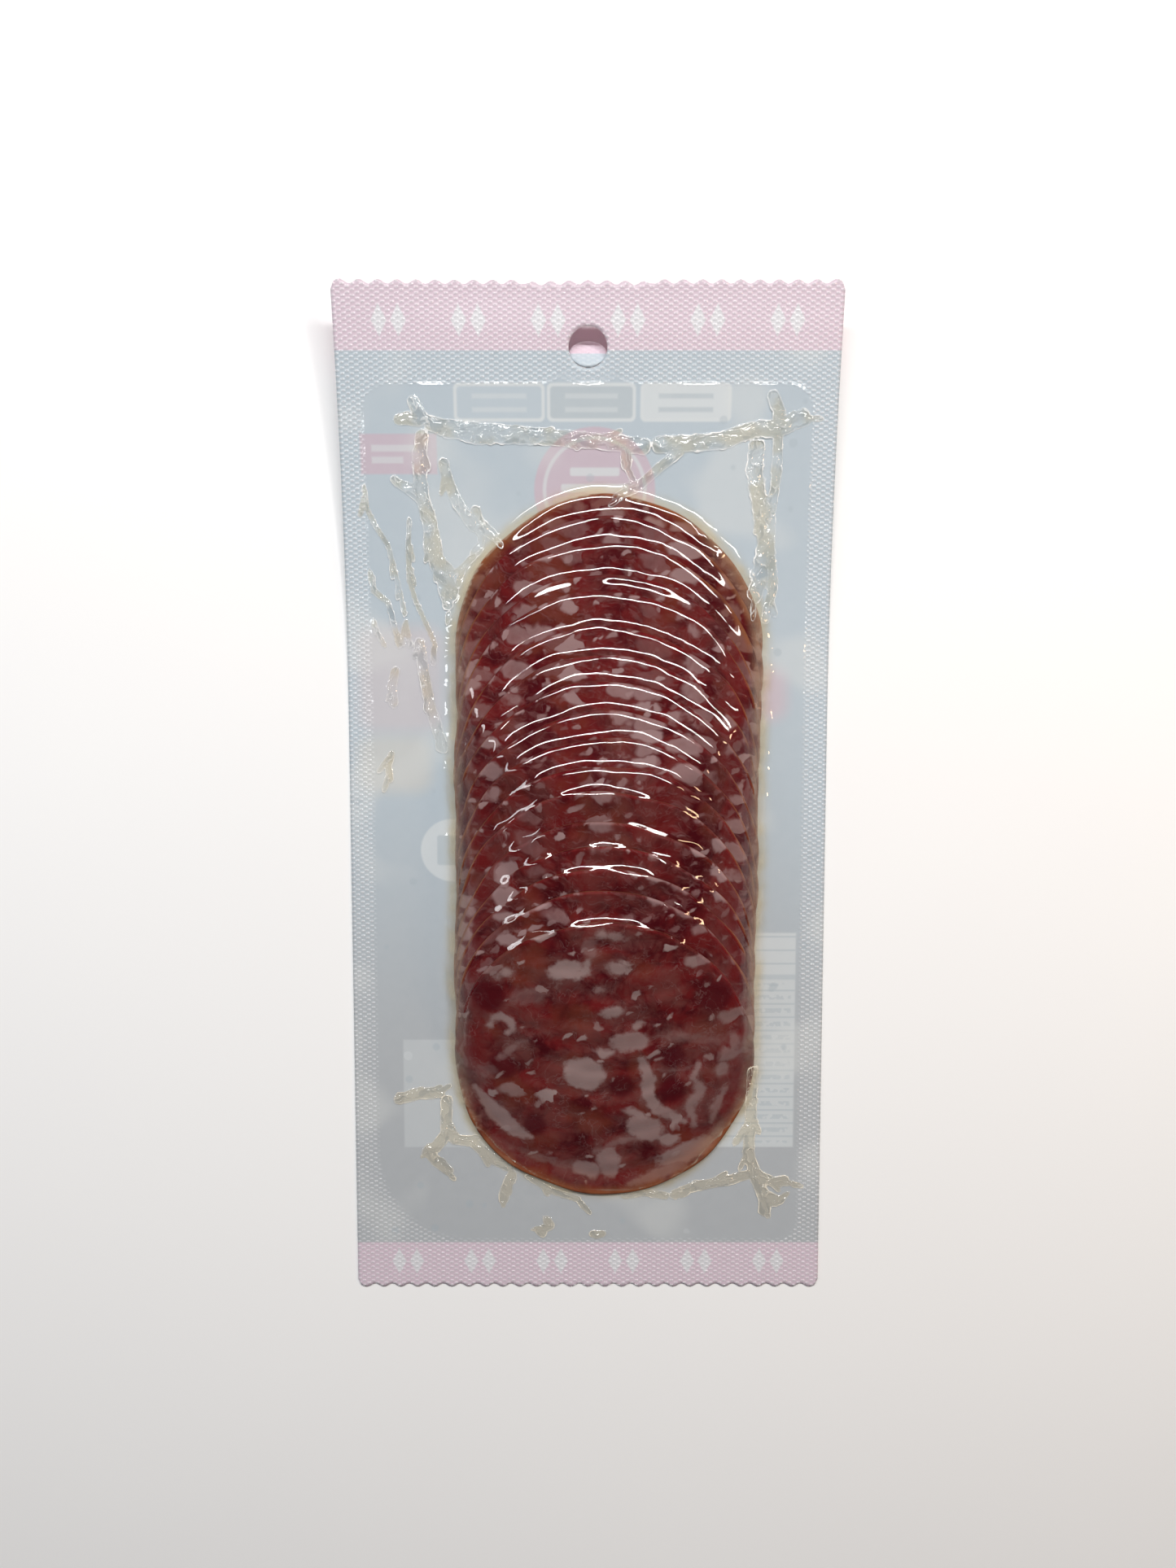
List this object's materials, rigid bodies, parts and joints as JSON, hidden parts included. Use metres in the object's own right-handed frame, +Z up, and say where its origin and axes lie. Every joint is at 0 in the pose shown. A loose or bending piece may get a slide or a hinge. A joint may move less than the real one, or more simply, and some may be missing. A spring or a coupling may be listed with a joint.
{
  "type": "vacuum pack of sliced salami",
  "caption": "Flat vacuum pack of cured sausage: round marbled slices shingled in a row between a clear front film and an opaque back film, with a hang hole.",
  "frame": {"origin": "middle of the pack's length and width, on the underside of the flat part of the back film", "axes": "+Y along the pack to the end with the hang hole, +Z up through the slices to the clear film, +X across the pack"},
  "size_m": [0.11, 0.23, 0.0189],
  "materials": {
    "salami": "moist cut meat, dark red lean with pale pink fat marbling",
    "back_film": "opaque satin film, pale blue-grey with faint print showing through and pink end bands, dot-embossed seal",
    "front_film": "clear glossy film with fine folds"
  },
  "bodies": {
    "root": {"back_film": "back_film", "front_film": "front_film", "slice_01": "salami", "slice_02": "salami", "slice_03": "salami", "slice_04": "salami", "slice_05": "salami", "slice_06": "salami", "slice_07": "salami", "slice_08": "salami", "slice_09": "salami", "slice_10": "salami", "slice_11": "salami", "slice_12": "salami", "slice_13": "salami", "slice_14": "salami", "slice_15": "salami", "slice_16": "salami", "slice_17": "salami"}
  },
  "joints": []
}
